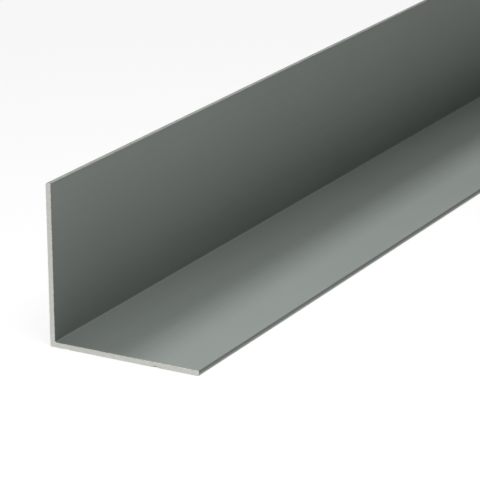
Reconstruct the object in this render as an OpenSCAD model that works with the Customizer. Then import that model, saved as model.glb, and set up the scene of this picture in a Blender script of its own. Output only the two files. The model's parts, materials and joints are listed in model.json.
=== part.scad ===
// Equal-leg angle in aluminium: one straight extrusion, sawn square at both ends.
// The flat leg lies along X on the floor, the upright leg stands at its -X edge, and the length runs along Y.
// The origin is the middle of the footprint, at floor level.

/* [Section] */
// Width of the flat leg, measured over the outside
flat_leg = 50; // [12:1:100]
// Height of the upright leg, measured over the outside
upright_leg = 50; // [12:1:100]
// Thickness of both legs
wall = 1.6; // [0.8:0.1:5]

/* [Edges] */
// Radius on the outside of the heel, where the two legs meet
heel_radius = 0.4; // [0.1:0.05:1]
// Radius of the fillet in the inside corner
root_radius = 0.4; // [0.1:0.05:2]
// Radius on both edges of each leg's tip
tip_radius = 0.3; // [0.05:0.05:0.6]

/* [Stock] */
// Length that the stock is sawn to
stock_length = 1000; // [50:10:6000]

/* [Hidden] */
$fn = 64;
// Most of the wall that one tip radius may take, so that a flat strip is left between the two
tip_share = 0.45;
tip_round = min(tip_radius, tip_share * wall);
// Grey of the satin anodised skin
skin_colour = "#7c827d";

// What a radius takes off the point of a square corner that stands at the origin, in the first quadrant
module corner_waste(radius) {
    difference() {
        square(radius);
        translate([radius, radius]) circle(radius);
    }
}

// One leg along +X from the heel, rounded on both edges of its tip
module leg(reach) {
    difference() {
        square([reach, wall]);
        translate([reach, 0]) rotate(90) corner_waste(tip_round);
        translate([reach, wall]) rotate(180) corner_waste(tip_round);
    }
}

// The section, with the heel's outer corner at the origin and the fillet filling the inside corner
module section() {
    difference() {
        union() {
            leg(flat_leg);
            mirror([1, -1]) leg(upright_leg);
            translate([wall, wall]) corner_waste(root_radius);
        }
        corner_waste(heel_radius);
    }
}

module angle_profile() {
    color(skin_colour)
        translate([-flat_leg / 2, stock_length / 2, 0])
            rotate([90, 0, 0])
                linear_extrude(stock_length) section();
}

angle_profile();
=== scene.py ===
import json
import math

import bmesh
import bpy
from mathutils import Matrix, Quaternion, Vector, noise


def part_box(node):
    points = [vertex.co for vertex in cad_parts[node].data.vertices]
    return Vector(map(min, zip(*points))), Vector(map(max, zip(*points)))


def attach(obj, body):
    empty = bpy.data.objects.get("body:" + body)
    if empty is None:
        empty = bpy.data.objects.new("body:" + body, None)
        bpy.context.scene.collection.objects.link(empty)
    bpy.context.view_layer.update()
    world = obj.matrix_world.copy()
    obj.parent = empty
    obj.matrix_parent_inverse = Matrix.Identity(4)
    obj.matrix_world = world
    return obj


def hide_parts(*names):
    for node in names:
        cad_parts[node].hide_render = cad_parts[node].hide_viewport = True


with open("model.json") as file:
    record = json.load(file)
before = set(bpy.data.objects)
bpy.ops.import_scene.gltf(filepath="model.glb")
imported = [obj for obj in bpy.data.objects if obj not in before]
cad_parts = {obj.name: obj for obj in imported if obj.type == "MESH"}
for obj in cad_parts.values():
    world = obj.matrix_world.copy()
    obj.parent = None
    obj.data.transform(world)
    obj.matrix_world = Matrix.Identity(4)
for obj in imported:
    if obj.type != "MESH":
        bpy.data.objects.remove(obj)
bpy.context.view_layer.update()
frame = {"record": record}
scene = bpy.context.scene

# The bar: aluminium pushed hot through an L-shaped die, so every edge along it has a small radius.
# It was etched and anodised to a dark satin grey, then cut square by a circular saw,
# which left bare metal on both ends, a slightly ragged rim and a few dents where an end was set down.
low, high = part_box("angle_profile")
mount_places = {mount["name"]: Vector(mount["pos_m"]) for mount in frame["record"]["mounts"]}
length = high.y - low.y
leg = high.x - low.x
wall = mount_places["shelf"].z - low.z
heel_radius = 0.0004
root_radius = 0.0004
tip_radius = 0.0003
arc_segments = 6
inner_x = low.x + wall
inner_z = low.z + wall
section = (
    (low.x, low.z, heel_radius),
    (high.x, low.z, tip_radius),
    (high.x, inner_z, tip_radius),
    (inner_x, inner_z, root_radius),
    (inner_x, high.z, tip_radius),
    (low.x, high.z, tip_radius),
)

bar = bmesh.new()
corners = [bar.verts.new((x, low.y, z)) for x, z, radius in section]
bar.faces.new(corners)
for corner, (x, z, radius) in zip(corners, section):
    bmesh.ops.bevel(bar, geom=[corner], offset=radius, offset_type="OFFSET", segments=arc_segments,
                    profile=0.5, affect="VERTICES", material=-1)

# The flats are split into short steps, for the saw to leave its mark on, and the section along its mitre.
rim_step = 0.0005
merge_distance = 1e-7
flats = [edge for edge in bar.edges if edge.calc_length() > wall]
bmesh.ops.subdivide_edges(bar, edges=flats, cuts=round(leg / rim_step) - 1)
bmesh.ops.bisect_plane(bar, geom=[*bar.verts, *bar.edges, *bar.faces], dist=merge_distance,
                       plane_co=(low.x, low.y, low.z), plane_no=(1, 0, -1))

grown = bmesh.ops.extrude_face_region(bar, geom=bar.faces[:])
far_end = [part for part in grown["geom"] if isinstance(part, bmesh.types.BMVert)]
bmesh.ops.translate(bar, verts=far_end, vec=(0, length, 0))
bmesh.ops.recalc_face_normals(bar, faces=bar.faces[:])

# The saw breaks each end's rim: a narrow bevel, with two rings of faces behind it to hold the flats flat.
rim_bevel = 0.00012
rim_holds = (0.0005, 0.0015)
end_facing = 0.5
for hold in rim_holds:
    for y in (low.y + hold, high.y - hold):
        bmesh.ops.bisect_plane(bar, geom=[*bar.verts, *bar.edges, *bar.faces], dist=merge_distance,
                               plane_co=(0, y, 0), plane_no=(0, 1, 0))


def faces_along(face):
    """True for a face that looks along the bar, so a sawn end or its rim."""
    return abs(face.normal.y) > end_facing


rim = [edge for edge in bar.edges if sum(faces_along(face) for face in edge.link_faces) == 1]
bmesh.ops.bevel(bar, geom=rim, offset=rim_bevel, offset_type="OFFSET", segments=2,
                profile=0.5, affect="EDGES", material=-1)

# Chips go inward from the rim by a noise. Each dent in the near end's lower edge has a place across
# the bar, half a width and a depth, and leans inward by a share of that depth.
rim_reach = 1.5 * rim_bevel
chip_depth = 0.00012
chips_per_metre = 900
dent_lean = 0.5
dents = ((0.0105, 0.0009, 0.0004), (-0.0195, 0.0012, 0.0002), (-0.0235, 0.0007, 0.0002))
for vert in bar.verts:
    inward = 1 if vert.co.y < 0 else -1
    if min(vert.co.y - low.y, high.y - vert.co.y) < rim_reach:
        vert.co.y += inward * chip_depth * max(0, noise.noise(vert.co * chips_per_metre))
        for across, half_width, depth in dents:
            if inward > 0 and vert.co.z < low.z + rim_bevel:
                pressed = depth * max(0, 1 - ((vert.co.x - across) / half_width) ** 2)
                vert.co += Vector((0, dent_lean * pressed, pressed))

# One map for the whole bar: the long sides unroll round the section, and each end's two legs are strips
# beside them.
sides_share = 0.9
strip_step = 0.024
strip_width = 0.020
margin = 0.005
runs = []
walked = 0
for (x, z, radius), (next_x, next_z, next_radius) in zip(section, section[1:] + section[:1]):
    run = Vector((next_x - x, 0, next_z - z))
    runs.append((Vector((x, 0, z)), run.normalized(), walked))
    walked += run.length


def misfit(run, face):
    """How little a face belongs to a run of the section: its distance in walls, less how well it faces."""
    start, along, begun = run
    outward = Vector((along.z, 0, -along.x))
    return abs((face.calc_center_median() - start).dot(outward)) / wall - face.normal.dot(outward)


unrolled = bar.loops.layers.uv.new("OFBake")
for face in bar.faces:
    face.smooth = True
    centre = face.calc_center_median()
    start, along, begun = min(runs, key=lambda run: misfit(run, face))
    on_upright = centre.z - low.z > centre.x - low.x
    strip = sides_share + margin + strip_step * (2 * (centre.y > 0) + on_upright)
    for loop in face.loops:
        place = loop.vert.co
        if faces_along(face):
            face.material_index = 1
            out = place.x - low.x
            up = place.z - low.z
            along_leg, through = (up, out) if on_upright else (out, up)
            spot = (along_leg / leg, strip + strip_width * through / wall)
        else:
            spot = ((place.y - low.y) / length, sides_share * (begun + (place - start).dot(along)) / walked)
        loop[unrolled].uv = (margin + (1 - 2 * margin) * spot[0], spot[1])

crease_angle = math.radians(35)
bar_mesh = bpy.data.meshes.new("angle_bar")
bar.to_mesh(bar_mesh)
bar.free()
bar_mesh.set_sharp_from_angle(angle=crease_angle)
angle_bar = bpy.data.objects.new("angle_bar", bar_mesh)
scene.collection.objects.link(angle_bar)
even_shading = angle_bar.modifiers.new("even_shading", "WEIGHTED_NORMAL")
even_shading.keep_sharp = True


class Signal:
    """An output in a material's nodes. Sums with it add Math nodes, and add() brings in any other node."""

    def __init__(self, tree, socket=None):
        self.tree = tree
        self.socket = socket

    def add(self, kind, settings=None, inputs=None, output=0):
        """Adds a node, sets its settings first and then its sockets, and gives back one of its outputs."""
        node = self.tree.nodes.new(kind)
        for name, value in (settings or {}).items():
            setattr(node, name, value)
        for name, value in (inputs or {}).items():
            if isinstance(value, Signal):
                self.tree.links.new(value.socket, node.inputs[name])
            else:
                node.inputs[name].default_value = value
        return Signal(self.tree, node.outputs[output])

    def reckon(self, operation, first, second):
        """Adds a Math node on two signals, or on a signal and a number."""
        return self.add("ShaderNodeMath", {"operation": operation}, {0: first, 1: second})

    def __add__(self, other):
        return self.reckon("ADD", self, other)

    def __radd__(self, other):
        return self.reckon("ADD", other, self)

    def __sub__(self, other):
        return self.reckon("SUBTRACT", self, other)

    def __rsub__(self, other):
        return self.reckon("SUBTRACT", other, self)

    def __mul__(self, other):
        return self.reckon("MULTIPLY", self, other)

    def __rmul__(self, other):
        return self.reckon("MULTIPLY", other, self)

    def __abs__(self):
        return self.add("ShaderNodeMath", {"operation": "ABSOLUTE"}, {0: self})

    def step(self, start, end):
        """Goes smoothly from 0 at start to 1 at end."""
        return self.add("ShaderNodeMapRange", {"interpolation_type": "SMOOTHSTEP"},
                        {"Value": self, "From Min": start, "From Max": end})

    def blend(self, first, second):
        """One colour where this is 0, the other where it is 1."""
        return self.add("ShaderNodeMix", {"data_type": "RGBA"}, {0: self, 6: first, 7: second}, 2)

    def mottle(self, per_metre, detail):
        """Noise from 0 to 1 over this place, with about this many spots in a metre."""
        return self.add("ShaderNodeTexNoise", None, {"Vector": self, "Scale": per_metre, "Detail": detail})

    def feed(self, shader, name):
        """Links this to the shader's socket of that name."""
        self.tree.links.new(self.socket, shader.inputs[name])


def metal_finish(name):
    """A new finish for the bar: its shader, and the place on the bar as the first signal in its nodes."""
    finish = bpy.data.materials.new(name)
    finish.use_nodes = True
    bar_mesh.materials.append(finish)
    place = Signal(finish.node_tree).add("ShaderNodeTexCoord", output="Object")
    return finish.node_tree.nodes["Principled BSDF"], place


# The skin: die lines and broader streaks run along the bar, and clouds from the etching bath lie over them.
skin_colour = (0.200, 0.222, 0.206, 1)
bare_metal_and_reflection_colour = (0.70, 0.71, 0.66, 1)
draw_scale = (1, 0.003, 1)
skin_shader, skin = metal_finish("satin_anodised_skin")
sideways, lengthwise, upwards = [skin.add("ShaderNodeSeparateXYZ", None, {0: skin}, axis) for axis in "XYZ"]
drawn = skin.add("ShaderNodeVectorMath", {"operation": "MULTIPLY"}, {0: skin, 1: draw_scale})
die_lines = drawn.mottle(per_metre=1500, detail=4)
streaks = drawn.mottle(per_metre=130, detail=2)
clouds = skin.mottle(per_metre=24, detail=3)
grain = skin.mottle(per_metre=5200, detail=2)

# Specks of dust caught in the finish: a dot in every fifth cell or so.
specks_per_metre = 110
speck_radius = 0.00016
speck_share = 0.20
lot_fade = 0.02
speck_edge = speck_radius * specks_per_metre
cells = {"Vector": skin, "Scale": specks_per_metre}
speck_distance = skin.add("ShaderNodeTexVoronoi", None, cells, "Distance")
speck_colour = skin.add("ShaderNodeTexVoronoi", None, cells, "Color")
speck_lot = skin.add("ShaderNodeSeparateColor", None, {0: speck_colour})
chosen = speck_lot.step(1 - speck_share, 1 - speck_share + lot_fade)
specks = (1 - speck_distance.step(0.5 * speck_edge, speck_edge)) * chosen

# Paler, warmer skin: a painted highlight along the upright leg's top edge, and paler, warmer skin on the
# heel.
highlight_and_heel_colour = (0.260, 0.282, 0.247, 1)
top_highlight_width = 0.00015
heel_width = 0.0007
top_edge_highlight = upwards.step(high.z - top_highlight_width, high.z)
heel = 1 - (sideways + upwards).step(low.x + low.z, low.x + low.z + heel_width)
patches = skin.mottle(per_metre=300, detail=3).step(0.35, 0.70)
top_highlight_and_heel = (top_edge_highlight + heel) * (0.5 + 0.5 * patches)

# The flat leg's tip: painted shade darkens its upper half, and a painted reflection of the pale floor, in
# the bare metal's colour, lightens the half below.
tip_depth = 0.00015
tip_low = low.z + 0.0002
tip_middle = low.z + 0.0010
tip_face = sideways.step(high.x - tip_depth, high.x)
tip_upper = upwards.step(tip_low, tip_middle)
tip_painted_shade = tip_face * tip_upper
tip_painted_reflection = tip_face * (1 - tip_upper)

# The saw flaked the skin off in a thin, uneven line along both rims.
flake_reach = 0.0006
flake_fade = 0.00008
from_end = length / 2 - abs(lengthwise)
ragged = skin.mottle(per_metre=1800, detail=3) - 0.35
flaked = 1 - (from_end - flake_reach * ragged).step(0, flake_fade)

# The tone takes the painted shade on the tip's upper half.
tone_and_tip_shade = 0.84 + 0.12 * die_lines + 0.10 * streaks + 0.10 * clouds - 0.45 * specks - 0.24 * tip_painted_shade
# The paler colour paints the highlight along the top edge and lightens the heel.
skin_with_highlight_and_heel = top_highlight_and_heel.blend(skin_colour, highlight_and_heel_colour)
skin_tone_and_painted_light = skin.add("ShaderNodeVectorMath", {"operation": "SCALE"}, {0: skin_with_highlight_and_heel, "Scale": tone_and_tip_shade})
# Bare metal shows at the flaked rims; the same colour paints the floor's reflection on the tip's lower
# half.
(flaked + 0.35 * tip_painted_reflection).blend(skin_tone_and_painted_light, bare_metal_and_reflection_colour).feed(skin_shader, "Base Color")
roughness = 0.522 + 0.05 * streaks + 0.06 * grain + 0.12 * specks - 0.04 * top_highlight_and_heel
roughness.feed(skin_shader, "Roughness")
skin_shader.inputs["Metallic"].default_value = 0.671
relief = 0.5 * die_lines + 0.3 * grain - 0.8 * specks
relief_height = 0.000004
skin.add("ShaderNodeBump", None, {"Height": relief, "Distance": relief_height}).feed(skin_shader, "Normal")

# The sawn ends: bright bare metal, scored in faint arcs by the blade's teeth.
saw_hub = (0.040, 0, 0.170)
teeth_per_metre = 2400
cut_plane = (1, 0, 1)
sawn_dark = (0.65, 0.65, 0.60, 1)
sawn_light = (0.77, 0.775, 0.74, 1)
sawn_shader, sawn = metal_finish("bare_sawn_metal")
cut = sawn.add("ShaderNodeVectorMath", {"operation": "MULTIPLY"}, {0: sawn, 1: cut_plane})
from_hub = sawn.add("ShaderNodeVectorMath", {"operation": "DISTANCE"}, {0: cut, 1: saw_hub}, "Value")
teeth = sawn.add("ShaderNodeTexNoise", {"noise_dimensions": "1D"},
                 {"W": from_hub, "Scale": teeth_per_metre, "Detail": 3})
smear = sawn.mottle(per_metre=700, detail=4)
shade = 0.5 * teeth + 0.5 * smear
shade.step(0.25, 0.75).blend(sawn_dark, sawn_light).feed(sawn_shader, "Base Color")
(0.50 + 0.20 * smear).feed(sawn_shader, "Roughness")
sawn_shader.inputs["Metallic"].default_value = 1.0
tooth_depth = 0.000006
sawn.add("ShaderNodeBump", None, {"Height": shade, "Distance": tooth_depth}).feed(sawn_shader, "Normal")

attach(angle_bar, "root")
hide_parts("angle_profile")

# The floor: a plain white studio floor of matt paper, far wider than the bar and turned up round its edge,
# so that a low view ends in white too. To the camera and in the metal it shows nearer to white than it is
# lit, and it keeps a soft shadow.
floor_reach = 42
floor_upturn = 4.4
floor_colour = (0.92, 0.92, 0.92, 1)
white_share = 0.82
floor_mesh = bpy.data.meshes.new("studio_floor")
sheet = bmesh.new()
bmesh.ops.create_circle(sheet, cap_ends=True, segments=64, radius=floor_reach)
upturned = bmesh.ops.extrude_edge_only(sheet, edges=sheet.edges[:])
raised = [part for part in upturned["geom"] if isinstance(part, bmesh.types.BMVert)]
bmesh.ops.translate(sheet, verts=raised, vec=(0, 0, floor_upturn))
sheet.to_mesh(floor_mesh)
sheet.free()
floor = bpy.data.objects.new("studio_floor", floor_mesh)
scene.collection.objects.link(floor)
paper_material = bpy.data.materials.new("white_paper")
paper_material.use_nodes = True
floor_mesh.materials.append(paper_material)
paper_shader = paper_material.node_tree.nodes["Principled BSDF"]
paper_shader.inputs["Base Color"].default_value = floor_colour
paper_shader.inputs["Roughness"].default_value = 0.9
paper = Signal(paper_material.node_tree, paper_shader.outputs["BSDF"])
white = paper.add("ShaderNodeEmission", None, {"Color": (1, 1, 1, 1), "Strength": 1.0})
seen = (paper.add("ShaderNodeLightPath", output="Is Camera Ray")
        + paper.add("ShaderNodeLightPath", output="Is Glossy Ray")
        + paper.add("ShaderNodeLightPath", output="Is Transmission Ray"))
shown = paper.add("ShaderNodeMixShader", None, {0: white_share * seen, 1: paper, 2: white})
shown.feed(paper_material.node_tree.nodes["Material Output"], "Surface")

# The light: a window behind the bar, the broad glow of a white ceiling above it, one softbox close above
# the near end, and otherwise a dim room. The softbox is a plain square of white cloth on a stand.
room_level = 0.01
world = bpy.data.worlds.new("studio")
world.use_nodes = True
world.node_tree.nodes["Background"].inputs["Color"].default_value = (1, 1, 1, 1)
world.node_tree.nodes["Background"].inputs["Strength"].default_value = room_level
scene.world = world
scene.view_settings.view_transform = "Standard"


def towards(azimuth, elevation):
    """The direction this many degrees round from +X towards +Y, and this many up."""
    turn = math.radians(azimuth)
    rise = math.radians(elevation)
    return Vector((math.cos(turn) * math.cos(rise), math.sin(turn) * math.cos(rise), math.sin(rise)))


def hang(name, light, direction):
    """Puts a lamp in the scene that shines back along this direction."""
    lamp = bpy.data.objects.new(name, light)
    lamp.rotation_mode = "QUATERNION"
    lamp.rotation_quaternion = direction.to_track_quat("Z", "Y")
    scene.collection.objects.link(lamp)
    return lamp


ceiling = ("ceiling_glow", 1.07, 43, towards(101, 68.5))
window = ("window", 0.68, 13, towards(121.6, 42.1))
for name, strength, spread, direction in (ceiling, window):
    light = bpy.data.lights.new(name, "SUN")
    light.energy = strength
    light.angle = math.radians(spread)
    hang(name, light, direction)

softbox_place = Vector((0.107, -0.579, 0.361))
softbox_aim = Vector((0, -0.45, 0))
cloth = bpy.data.lights.new("softbox", "AREA")
cloth.shape = "SQUARE"
cloth.size = 0.22
cloth.energy = 1.5
softbox = hang("softbox", cloth, softbox_place - softbox_aim)
softbox.location = softbox_place
softbox.visible_camera = False

# The camera: a long lens at table height, a little above the bar,
# looking along it from the open side with the near end in front.
camera_aim = Vector((0.0387, low.y, 0.0430))
camera_distance = 0.735
camera_direction = towards(azimuth=-60.7, elevation=18.7)
camera_roll = math.radians(0.37)
lens = bpy.data.cameras.new("camera")
lens.lens = 200
lens.clip_start = 0.01
camera = bpy.data.objects.new("camera", lens)
camera.location = camera_aim + camera_distance * camera_direction
camera.rotation_mode = "QUATERNION"
camera.rotation_quaternion = camera_direction.to_track_quat("Z", "Y") @ Quaternion((0, 0, 1), -camera_roll)
scene.collection.objects.link(camera)
scene.camera = camera
